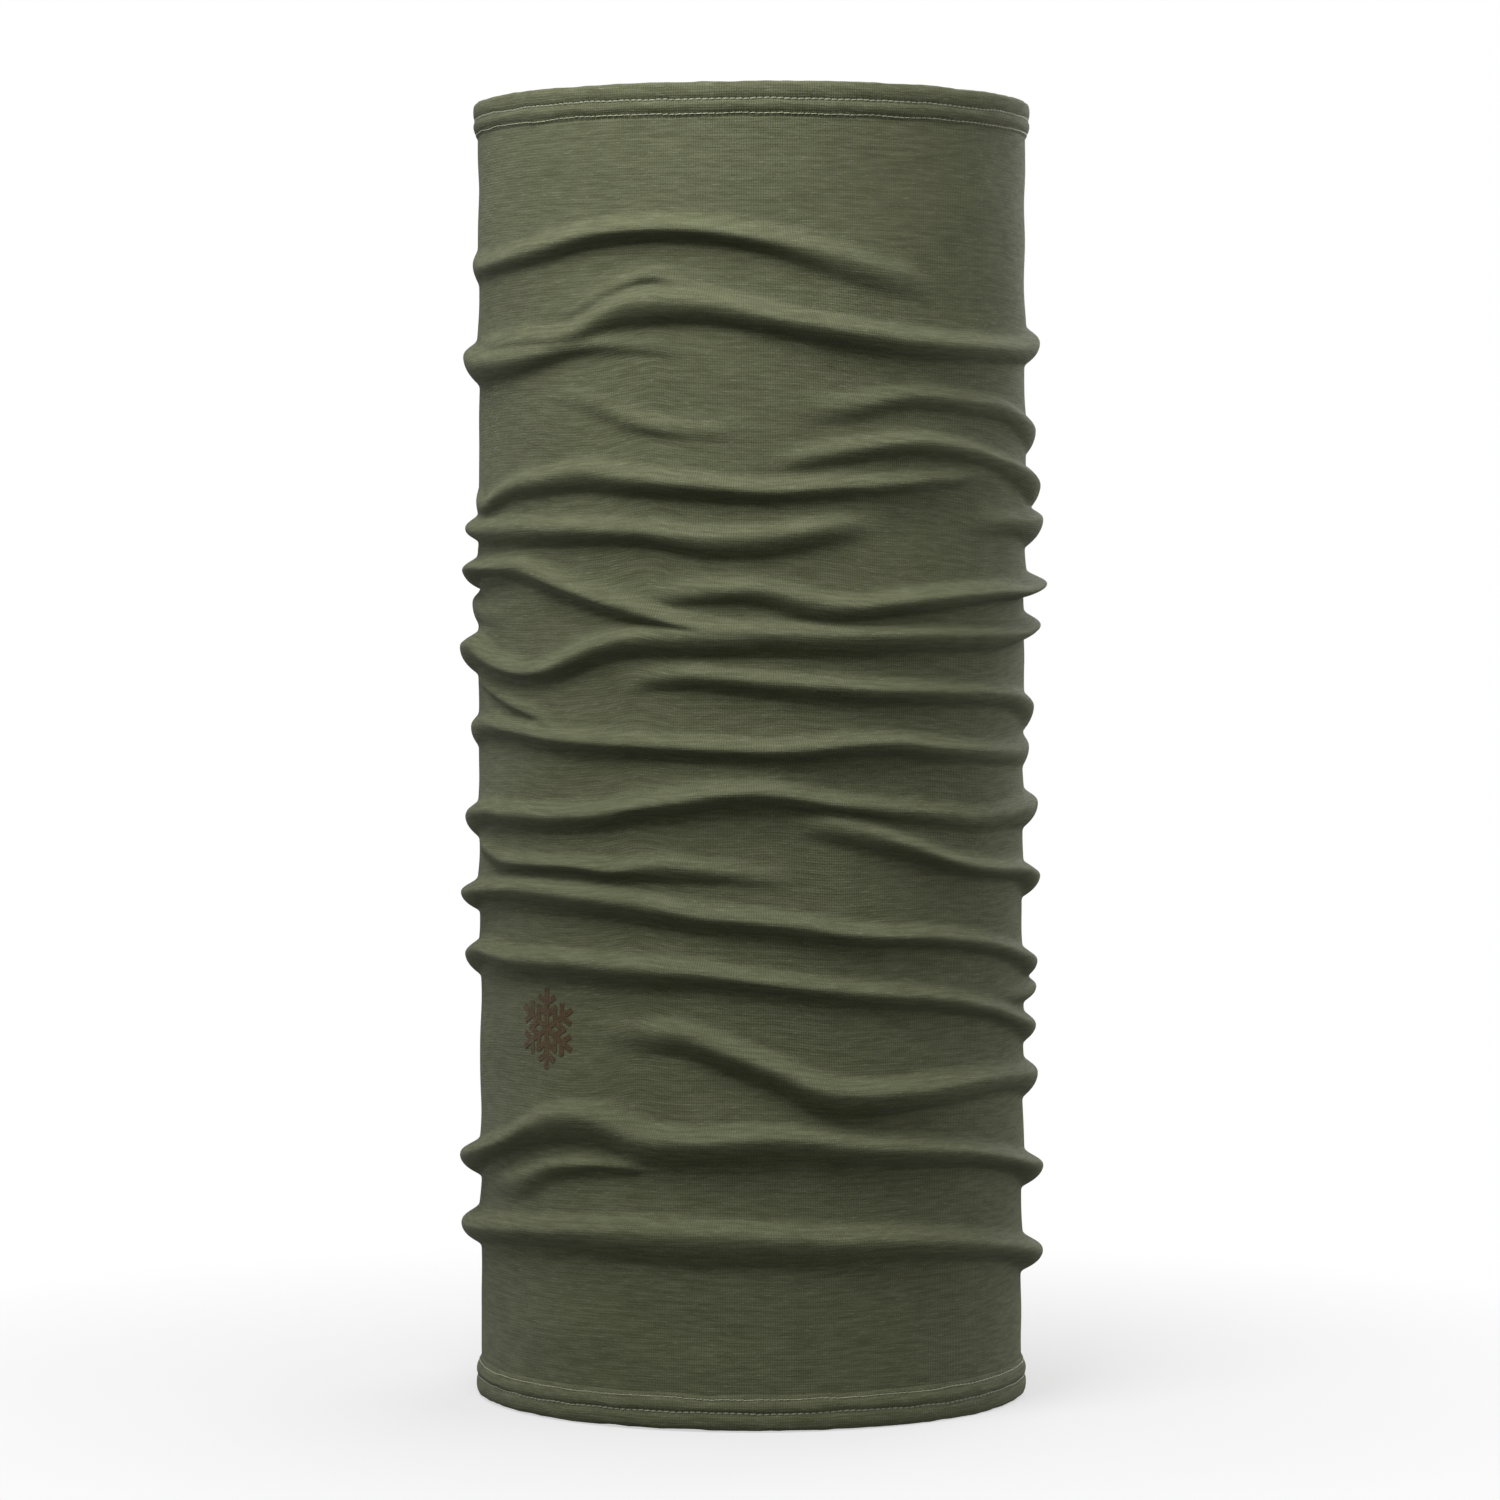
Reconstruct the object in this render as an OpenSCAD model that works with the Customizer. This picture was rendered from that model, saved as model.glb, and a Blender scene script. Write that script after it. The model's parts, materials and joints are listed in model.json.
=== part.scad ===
// Neck gaiter: one seamless knit tube, gathered into folds as it is worn, with a turned
// and coverstitched hem at each end, a small print and a care label inside the back.
// Millimetres. +Z is up, the front faces -Y, and the origin is under the middle of the
// bottom edge.

/* [Tube] */
// Inside radius of the hems, which is the neck opening
neck_radius = 78.6; // [66:0.1:95]
// Height from edge to edge as it is worn, gathered
worn_height = 376; // [310:1:460]
// Thickness of one layer of knit
cloth = 0.8; // [0.6:0.1:1]
// How far the tube's inside lies behind the hems' inside
tube_set_back = 0.2; // [0.1:0.05:0.3]

/* [Folds] */
// How far a usual fold stands out of the tube
fold_reach = 5; // [4:0.1:6]
// Half the height of a usual fold
fold_half = 4.8; // [4:0.1:5.8]

/* [Hems] */
// Depth of a turned hem
hem_depth = 11; // [10.8:0.1:16]
// Thickness of a hem, from its inside to its outside
hem_thickness = 2.5; // [2.1:0.1:3.5]
// Radius that rounds the turned edge
edge_round = 0.6; // [0.2:0.1:0.8]
// Gap between the turned-in raw edge and the tube
raw_edge_gap = 0.5; // [0.3:0.1:0.6]
// Gap between the top hem, which moves, and the tube
moving_gap = 0.3; // [0.2:0.1:0.6]

/* [Stitching] */
// Distance from a hem's edge to its first needle row
edge_row = 4.9; // [4:0.1:5]
// Distance between the two needle rows
row_gauge = 4.1; // [3.2:0.1:4.2]
// Radius of a needle thread
thread_radius = 0.3; // [0.15:0.05:0.4]
// Thickness of the looper thread's band inside a hem
looper_thickness = 0.3; // [0.15:0.05:0.4]
// How far the looper thread's band runs past each needle row
looper_margin = 0.4; // [0.2:0.1:0.5]
// Clearance round a thread in the groove that it pulls
thread_clearance = 0.05; // [0.02:0.01:0.1]

/* [Print] */
// Width across the snowflake, from tip to tip
print_span = 23; // [14:0.5:26]
// Width of a line of the snowflake
print_line = 1.6; // [1:0.1:2.2]
// Thickness of the printed film
print_film = 0.2; // [0.1:0.05:0.4]
// Turn of the print from the front, towards the wearer's right
print_turn = 47; // [0:1:90]

/* [Care label] */
// Width of the label
label_width = 26; // [15:1:40]
// Length that hangs below the hem
label_length = 30; // [15:1:45]
// Thickness of the label
label_thickness = 0.3; // [0.2:0.05:0.35]
// Clearance between the label and the tube behind it
label_clearance = 0.2; // [0.1:0.05:0.25]
// Gap between the hem and the label, in which the label bends
label_drop = 1.4; // [1.3:0.1:3]

/* [Hidden] */
$fn = 96;

// Each fold's place as a share of the worn height, and its fullness as a share of a
// usual fold. The stretch from 0.225 to 0.35 stays flat, because the print is there.
folds = [
    [0.149, 1.1],
    [0.225, 1.15],
    [0.35, 0.85],
    [0.388, 1],
    [0.435, 0.8],
    [0.479, 0.85],
    [0.512, 0.6],
    [0.564, 0.9],
    [0.597, 1.05],
    [0.632, 1.3],
    [0.672, 1],
    [0.706, 0.9],
    [0.75, 0.8],
    [0.82, 0.9],
    [0.888, 0.6]
];
print_place = 0.295;

olive = "#545740";
thread_olive = "#4c4f38";
print_brown = "#4a2a1c";
label_cream = "#d8d4c6";

hem_outer = neck_radius + hem_thickness;
tube_inner = neck_radius + tube_set_back;
tube_outer = tube_inner + cloth;
tube_bottom = hem_depth;
tube_top = worn_height - hem_depth - moving_gap;
body_row = edge_row + row_gauge;
label_outer = tube_inner - label_clearance;
label_inner = label_outer - label_thickness;
label_top = worn_height - hem_depth - label_drop;
// Cuts run past the solids by this much
past = 1;

// Places a hem's own pieces, drawn upwards from its edge, at the top edge
module at_top() {
    translate([0, 0, worn_height])
        mirror([0, 0, 1])
            children();
}

// Middle of a fold's round section: its radius and its height
function fold_middle(fold) = [
    tube_outer + (fold_reach - fold_half) * fold[1],
    fold[0] * worn_height
];

// Section of the tube: a straight wall that runs out round each fold and back
module tube_section() {
    difference() {
        union() {
            translate([tube_inner, tube_bottom])
                square([cloth, tube_top - tube_bottom]);
            for (fold = folds)
                translate(fold_middle(fold))
                    circle(r = fold_half * fold[1]);
        }
        for (fold = folds)
            translate(fold_middle(fold))
                circle(r = fold_half * fold[1] - cloth);
        square([tube_inner, worn_height]);
    }
}

// Outline of a hem: both plies and the rolled edge between them
module hem_outline() {
    translate([neck_radius, edge_round])
        square([hem_thickness, hem_depth - edge_round]);
    translate([neck_radius + edge_round, 0])
        square([hem_thickness - 2 * edge_round, hem_depth]);
    for (round_middle = [neck_radius + edge_round, hem_outer - edge_round])
        translate([round_middle, edge_round])
            circle(r = edge_round);
}

// Section of a hem, upwards from its edge: the outer ply steps in to the tube, and the
// inner ply ends in a raw edge
module hem_section() {
    difference() {
        hem_outline();
        // air between the plies
        translate([neck_radius + cloth, cloth])
            square([hem_thickness - 2 * cloth, hem_depth - 2 * cloth]);
        // raw edge of the inner ply
        translate([neck_radius - past, hem_depth - cloth - raw_edge_gap])
            square([past + cloth + raw_edge_gap, raw_edge_gap]);
        // the tube's inside goes on behind the raw edge
        translate([neck_radius - past, hem_depth - cloth])
            square([past + tube_set_back, cloth + past]);
        // grooves that the needle threads pull
        for (row = [edge_row, body_row])
            translate([hem_outer, row])
                circle(r = thread_radius + thread_clearance);
        // recess under the looper thread
        translate([neck_radius - past, edge_row - looper_margin])
            square([past + looper_thickness, row_gauge + 2 * looper_margin]);
    }
}

// One needle thread, drawn as a ring in its groove
module needle_ring(row) {
    color(thread_olive)
        translate([0, 0, row])
            rotate_extrude()
                translate([hem_outer, 0])
                    circle(r = thread_radius);
}

// The looper thread that joins both needle rows on the inside, drawn as its band
module looper_band() {
    color(thread_olive)
        translate([0, 0, edge_row - looper_margin + thread_clearance])
            rotate_extrude()
                translate([neck_radius + thread_clearance, 0])
                    square([
                        looper_thickness - thread_clearance,
                        row_gauge + 2 * (looper_margin - thread_clearance)
                    ]);
}

// A snowflake with six arms and two pairs of twigs on each
module snowflake() {
    twig_turn = 60;
    for (arm = [0 : 5])
        rotate(60 * arm + 30) {
            translate([0, -print_line / 2])
                square([print_span / 2, print_line]);
            for (twig = [[0.34, 0.2], [0.62, 0.17]])
                for (side = [-1, 1])
                    translate([twig[0] * print_span / 2, 0])
                        rotate(side * twig_turn)
                            translate([0, -print_line / 2])
                                square([twig[1] * print_span, print_line]);
        }
}

module knit_tube() {
    color(olive)
        rotate_extrude()
            tube_section();
}

module bottom_hem() {
    color(olive)
        rotate_extrude()
            hem_section();
}

module bottom_edge_thread() {
    needle_ring(edge_row);
}

module bottom_body_thread() {
    needle_ring(body_row);
}

module bottom_looper_thread() {
    looper_band();
}

module top_hem() {
    at_top()
        bottom_hem();
}

module top_edge_thread() {
    at_top()
        bottom_edge_thread();
}

module top_body_thread() {
    at_top()
        bottom_body_thread();
}

module top_looper_thread() {
    at_top()
        bottom_looper_thread();
}

// The print lies on the tube, so it is cut from a thin shell of the tube's own radius
module snowflake_print() {
    color(print_brown)
        rotate(-print_turn)
            translate([0, 0, print_place * worn_height])
                intersection() {
                    translate([0, 0, -print_span])
                        linear_extrude(2 * print_span)
                            difference() {
                                circle(r = tube_outer + print_film);
                                circle(r = tube_outer);
                            }
                    rotate([90, 0, 0])
                        linear_extrude(tube_outer + past)
                            snowflake();
                }
}

// The label is curved as the tube behind it
module care_label() {
    label_angle = label_width / label_outer * 180 / PI;
    color(label_cream)
        translate([0, 0, label_top - label_length])
            rotate(90 - label_angle / 2)
                rotate_extrude(angle = label_angle)
                    translate([label_inner, 0])
                        square([label_thickness, label_length]);
}

knit_tube();
bottom_hem();
bottom_edge_thread();
bottom_body_thread();
bottom_looper_thread();
top_hem();
top_edge_thread();
top_body_thread();
top_looper_thread();
snowflake_print();
care_label();
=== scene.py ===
import bmesh
import bpy
import json
import math
import numpy as np
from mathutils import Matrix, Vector
from mathutils.geometry import delaunay_2d_cdt


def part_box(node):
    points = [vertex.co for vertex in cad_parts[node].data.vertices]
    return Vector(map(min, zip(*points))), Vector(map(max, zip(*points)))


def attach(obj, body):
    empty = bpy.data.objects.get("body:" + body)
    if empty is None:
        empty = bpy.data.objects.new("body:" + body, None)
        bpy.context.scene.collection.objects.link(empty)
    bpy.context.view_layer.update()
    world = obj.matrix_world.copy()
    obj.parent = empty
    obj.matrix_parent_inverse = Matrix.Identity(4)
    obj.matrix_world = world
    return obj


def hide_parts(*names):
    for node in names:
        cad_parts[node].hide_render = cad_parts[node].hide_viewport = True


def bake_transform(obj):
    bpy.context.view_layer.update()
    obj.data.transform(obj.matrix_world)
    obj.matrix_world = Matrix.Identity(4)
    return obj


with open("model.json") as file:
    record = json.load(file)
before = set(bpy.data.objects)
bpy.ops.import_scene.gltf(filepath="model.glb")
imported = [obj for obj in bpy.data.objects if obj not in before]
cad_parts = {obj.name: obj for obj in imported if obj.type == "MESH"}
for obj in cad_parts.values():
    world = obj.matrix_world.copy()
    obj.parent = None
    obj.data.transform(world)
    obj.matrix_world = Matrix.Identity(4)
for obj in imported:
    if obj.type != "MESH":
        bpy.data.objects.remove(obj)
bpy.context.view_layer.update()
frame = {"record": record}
scene = bpy.context.scene
mm = 0.001

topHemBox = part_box("top_hem")
wornHeight = topHemBox[1].z
hemDepth = topHemBox[1].z - topHemBox[0].z
boreRadius = frame["record"]["mounts"][0]["dims"]["r_mm"] * mm
clothRadius = boreRadius + 1 * mm  # where the knit keeps its true scale round the neck


def addObject(name, data):
    thing = bpy.data.objects.new(name, data)
    scene.collection.objects.link(thing)
    return thing


# camera, level with the upper folds and aimed at the middle of the gaiter
cameraView = {"distance": 1.546, "height": 0.239, "aside": -0.0004, "lens": 126.7}


def makeCamera(view, aimHeight):
    data = bpy.data.cameras.new("camera")
    data.lens = view["lens"]
    camera = addObject("camera", data)
    camera.location = (view["aside"], -view["distance"], view["height"])
    fall = math.atan2(view["height"] - aimHeight, view["distance"])
    camera.rotation_euler = (math.pi / 2 - fall, 0, 0)
    scene.camera = camera


makeCamera(cameraView, wornHeight / 2)
print("camera placed")


# small helpers for node trees, used by the materials and by Geometry Nodes alike
def feedAll(tree, node, inputs):
    for name, value in inputs.items():
        if isinstance(value, bpy.types.NodeSocket):
            tree.links.new(value, node.inputs[name])
        else:
            node.inputs[name].default_value = value


def addNode(tree, kind, inputs=None, **settings):
    node = tree.nodes.new(kind)
    for name, value in settings.items():
        setattr(node, name, value)
    feedAll(tree, node, inputs or {})
    return node


def calc(tree, operation, *values):
    node = addNode(tree, "ShaderNodeMath", dict(enumerate(values)), operation=operation)
    return node.outputs[0]


def times(tree, first, second):
    return calc(tree, "MULTIPLY", first, second)


# value, and then the low and high end that it has, and the low and high end that it gets
def remap(tree, *values):
    names = ("Value", "From Min", "From Max", "To Min", "To Max")
    return addNode(tree, "ShaderNodeMapRange", dict(zip(names, values))).outputs["Result"]


def mixColours(tree, share, first, second, blendType="MIX"):
    colours = {0: share, 6: first, 7: second}
    node = addNode(tree, "ShaderNodeMix", colours, data_type="RGBA", blend_type=blendType)
    return node.outputs[2]


def noise(tree, vector, scale, detail):
    inputs = {"Vector": vector, "Scale": scale, "Detail": detail}
    return addNode(tree, "ShaderNodeTexNoise", inputs).outputs["Fac"]


def joinVector(tree, x, y, z):
    return addNode(tree, "ShaderNodeCombineXYZ", {0: x, 1: y, 2: z}).outputs[0]


# an empty tree with named sockets, and the nodes at its two ends
def newTree(name, kind, inputs, outputs):
    tree = bpy.data.node_groups.new(name, kind)
    for way, sockets in (("INPUT", inputs), ("OUTPUT", outputs)):
        for label, what in sockets.items():
            tree.interface.new_socket(label, in_out=way, socket_type="NodeSocket" + what)
    return tree, tree.nodes.new("NodeGroupInput"), tree.nodes.new("NodeGroupOutput")


# jersey has two slanted legs to each wale and one loop to each course; all as shares of a loop
jersey = {
    "legRoundness": 2.4,
    "grooveWidth": 0.14,
    "grooveDepth": 0.22,
    "legSlant": 0.7,
    "loopRise": 0.19,
    "streakAcross": 0.07,
    "streakAlong": 0.72,
    "streakDetail": 4.0,
    "fleckScale": 1.3,
}


def makeKnitLoops():
    group, given, out = newTree(
        "knitLoops",
        "ShaderNodeTree",
        {"Vector": "Vector", "Wale": "Float", "Course": "Float"},
        {"Height": "Float", "Streak": "Float", "Fleck": "Float"},
    )
    place = addNode(group, "ShaderNodeSeparateXYZ", {0: given.outputs["Vector"]})
    across = calc(group, "DIVIDE", place.outputs[0], given.outputs["Wale"])
    along = calc(group, "DIVIDE", place.outputs[1], given.outputs["Course"])
    side = calc(group, "ABSOLUTE", calc(group, "SUBTRACT", calc(group, "FRACT", across), 0.5))
    hollow = calc(group, "POWER", times(group, side, 2), jersey["legRoundness"])
    groove = remap(group, side, 0.0, jersey["grooveWidth"], jersey["grooveDepth"], 0.0)
    leg = calc(group, "SUBTRACT", calc(group, "SUBTRACT", 1, hollow), groove)
    slanted = calc(group, "SUBTRACT", along, times(group, side, jersey["legSlant"]))
    wave = calc(group, "COSINE", times(group, slanted, math.tau))
    loop = calc(group, "MULTIPLY_ADD", wave, jersey["loopRise"], 1 - jersey["loopRise"])
    # heather: pale and dark fibres that run along a course for a while
    streakPlace = joinVector(
        group,
        times(group, across, jersey["streakAcross"]),
        times(group, along, jersey["streakAlong"]),
        0.0,
    )
    fleckPlace = joinVector(group, across, along, 0.0)
    feedAll(group, out, {
        "Height": times(group, leg, loop),
        "Streak": noise(group, streakPlace, 1.0, jersey["streakDetail"]),
        "Fleck": noise(group, fleckPlace, jersey["fleckScale"], 1.0),
    })
    return group


knitLoops = makeKnitLoops()


def newMaterial(name, slotColour):
    material = bpy.data.materials.new(name)
    material.use_nodes = True
    material.diffuse_color = (*slotColour, 1)
    tree = material.node_tree
    return material, tree, tree.nodes["Principled BSDF"]


def bumpFrom(tree, height, strength, distance):
    inputs = {"Strength": strength, "Distance": distance, "Height": height}
    return addNode(tree, "ShaderNodeBump", inputs).outputs["Normal"]


# the cloth's own look, with painted shade between the loops; each pair is a low end and a high end
merino = {
    "pale": (0.103, 0.110, 0.063, 1),
    "dark": (0.055, 0.059, 0.029, 1),
    "hair": (0.165, 0.175, 0.12, 1),
    "wale": 0.67 * mm,
    "course": 0.77 * mm,
    "loopDepth": 0.17 * mm,
    "streaks": (0.36, 0.68),
    "flecks": (0.3, 0.7),
    "fleckShare": 0.35,
    "paintedLoopShade": (0.76, 1.05),  # painted shade between the loops, and a slight painted highlight on them
    "fuzz": 0.65,
    "shortHairs": {"stretch": (0.22, 1, 1), "turn": 0.06, "scale": 3000, "detail": 3.0},
    "longHairs": {"stretch": (0.11, 1.3, 1), "turn": 0.12, "scale": 2600, "detail": 2.0},
    "strands": (0.58, 0.74),
    "strandShow": 0.55,
    "relief": 0.8,
    "finish": {
        "Roughness": 0.85,
        "Specular IOR Level": 0.16,
        "Sheen Weight": 0.04,
        "Sheen Roughness": 0.5,
        "Sheen Tint": (0.75, 0.78, 0.62, 1),
    },
}
loopTop = 0.8  # the knit's height where a loop is painted as lit in full


# the piece's own unrolled places, and the knit there
def knitOn(tree):
    place = addNode(tree, "ShaderNodeUVMap", uv_map="UVMap").outputs["UV"]
    inputs = {"Vector": place, "Wale": merino["wale"], "Course": merino["course"]}
    return place, addNode(tree, "ShaderNodeGroup", inputs, node_tree=knitLoops).outputs


# noise drawn out along the courses, for hairs that lie on the cloth
def hairNoise(tree, place, hairs):
    inputs = {"Vector": place, "Scale": hairs["stretch"], "Rotation": (0, 0, hairs["turn"])}
    drawn = addNode(tree, "ShaderNodeMapping", inputs).outputs[0]
    return noise(tree, drawn, hairs["scale"], hairs["detail"])


def makeMerino(name, paintedShadeFactor):
    material, tree, shader = newMaterial(name, merino["pale"][:3])
    place, knit = knitOn(tree)
    streak = remap(tree, knit["Streak"], *merino["streaks"], 0.0, 1.0)
    fleck = remap(tree, knit["Fleck"], *merino["flecks"], 0.0, 1.0)
    share = merino["fleckShare"]
    rest = times(tree, streak, 1 - share)
    blendOfYarn = calc(tree, "MULTIPLY_ADD", fleck, share, rest)
    yarn = mixColours(tree, blendOfYarn, merino["dark"], merino["pale"])
    # painted shade: the yarn's colour is darkened where the knit sinks between the loops and lifted
    # on the loops
    shade = remap(tree, knit["Height"], 0.0, loopTop, *merino["paintedLoopShade"])
    shaded = mixColours(tree, 1.0, yarn, shade, "MULTIPLY")
    # painted shade: the whole colour is multiplied by a factor that darkens the hem's copy of the
    # cloth
    withPaintedShadeFactor = mixColours(tree, 1.0, shaded, (paintedShadeFactor, paintedShadeFactor, paintedShadeFactor, 1), "MULTIPLY")
    fuzz = hairNoise(tree, place, merino["shortHairs"])
    relief = calc(tree, "MULTIPLY_ADD", fuzz, merino["fuzz"], knit["Height"])
    hairs = hairNoise(tree, place, merino["longHairs"])
    strands = remap(tree, hairs, *merino["strands"], 0.0, merino["strandShow"])
    feedAll(tree, shader, {
        "Base Color": mixColours(tree, strands, withPaintedShadeFactor, merino["hair"]),
        "Normal": bumpFrom(tree, relief, merino["relief"], merino["loopDepth"]),
        **merino["finish"],
    })
    return material


tubeCloth = makeMerino("merinoTube", 1.0)
# the hem is the same merino as the tube, painted 3% darker as shade
hemCloth = makeMerino("merinoHem", 0.97)

sewingThread = {
    "edge": ((0.105, 0.112, 0.068, 1), (0.165, 0.174, 0.112, 1)),
    "body": ((0.155, 0.164, 0.1, 1), (0.26, 0.27, 0.18, 1)),
    "twist": 4200,
    "tones": (0.3, 0.7),
    "relief": 0.5,
    "twistDepth": 0.1 * mm,
    "finish": {"Roughness": 0.55, "Sheen Weight": 0.06},
}


def makeThreadFinish(name, dark, pale):
    material, tree, shader = newMaterial(name, pale[:3])
    place = addNode(tree, "ShaderNodeTexCoord")
    twist = noise(tree, place.outputs["Object"], sewingThread["twist"], 2.0)
    tone = remap(tree, twist, *sewingThread["tones"], 0.0, 1.0)
    feedAll(tree, shader, {
        "Base Color": mixColours(tree, tone, dark, pale),
        "Normal": bumpFrom(tree, twist, sewingThread["relief"], sewingThread["twistDepth"]),
        **sewingThread["finish"],
    })
    return material


ink = {
    "dark": (0.041, 0.025, 0.009, 1),
    "pale": (0.066, 0.041, 0.016, 1),
    "mottle": 900,
    "tones": (0.35, 0.65),
    # painted shade on the ink between the knit's loops, and a slight painted highlight on them
    "paintedLoopShade": (0.7, 1.08),
    "relief": 0.6,
    "loopDepth": 0.15 * mm,
    "finish": {"Roughness": 0.65, "Specular IOR Level": 0.2},
}


def makePrintInk():
    material, tree, shader = newMaterial("printInk", (0.1, 0.05, 0.03))
    place, knit = knitOn(tree)
    tone = remap(tree, noise(tree, place, ink["mottle"], 3.0), *ink["tones"], 0.0, 1.0)
    film = mixColours(tree, tone, ink["dark"], ink["pale"])
    # painted shade: the ink's colour is darkened where the knit sinks between the loops
    shade = remap(tree, knit["Height"], 0.0, loopTop, *ink["paintedLoopShade"])
    feedAll(tree, shader, {
        "Base Color": mixColours(tree, 1.0, film, shade, "MULTIPLY"),
        "Normal": bumpFrom(tree, knit["Height"], ink["relief"], ink["loopDepth"]),
        **ink["finish"],
    })
    return material


satin = {
    "dark": (0.5, 0.485, 0.43, 1),
    "pale": (0.62, 0.605, 0.55, 1),
    "mottle": 160,
    "weave": {"Scale": 900, "Distortion": 1.5},
    "relief": 0.35,
    "weaveDepth": 0.08 * mm,
    "finish": {"Roughness": 0.38, "Anisotropic": 0.5},
}


def makeSatinTape():
    material, tree, shader = newMaterial("satinTape", (0.8, 0.78, 0.7))
    place = addNode(tree, "ShaderNodeTexCoord").outputs["Object"]
    weave = addNode(
        tree,
        "ShaderNodeTexWave",
        {"Vector": place, **satin["weave"]},
        wave_type="BANDS",
        bands_direction="Z",
    ).outputs["Fac"]
    tone = noise(tree, place, satin["mottle"], 3.0)
    feedAll(tree, shader, {
        "Base Color": mixColours(tree, tone, satin["dark"], satin["pale"]),
        "Normal": bumpFrom(tree, weave, satin["relief"], satin["weaveDepth"]),
        **satin["finish"],
    })
    return material


threadFinish = makeThreadFinish("sewingThread", *sewingThread["edge"])
brightThreadFinish = makeThreadFinish("sewingThreadBody", *sewingThread["body"])
printInk = makePrintInk()
satinTape = makeSatinTape()
print("materials made")

# the knit tube
tube = {
    "topRadius": boreRadius + 1.2 * mm,
    "bottomRadius": boreRadius + 0.6 * mm,
    "thickness": 0.8 * mm,
    "lowEnd": 8.6 * mm,
    "highEnd": wornHeight - 8.6 * mm,
    "columns": 180,
    "rows": 360,
    "rowsToBends": 3.0,
    "rowBlur": (4, 1),
}

# how folds are shaped, in millimetres and in shares of their reach
foldShape = {
    "lean": 0.15,
    "tipBelow": 1.9,
    "settle": 1.6,
    "turnAway": 0.34,
    "leastDrop": 2,
    "slopePerCrown": 5,
    "slopeLeast": 4,
    "slopeShare": 0.16,
    "backRound": 1.6,
    "bellyRound": 1.8,
    "sideRound": 0.6,
    "blur": (1.2, 0.5),
}

# slow unevenness of cloth that hangs by itself, in laps round and millimetres along
ripple = {
    "seed": 7,
    "waves": 26,
    "laps": (2, 9),
    "lengths": (14, 60),
    "depth": 0.3 * mm,
    "calmNearHems": 14,
}

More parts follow.
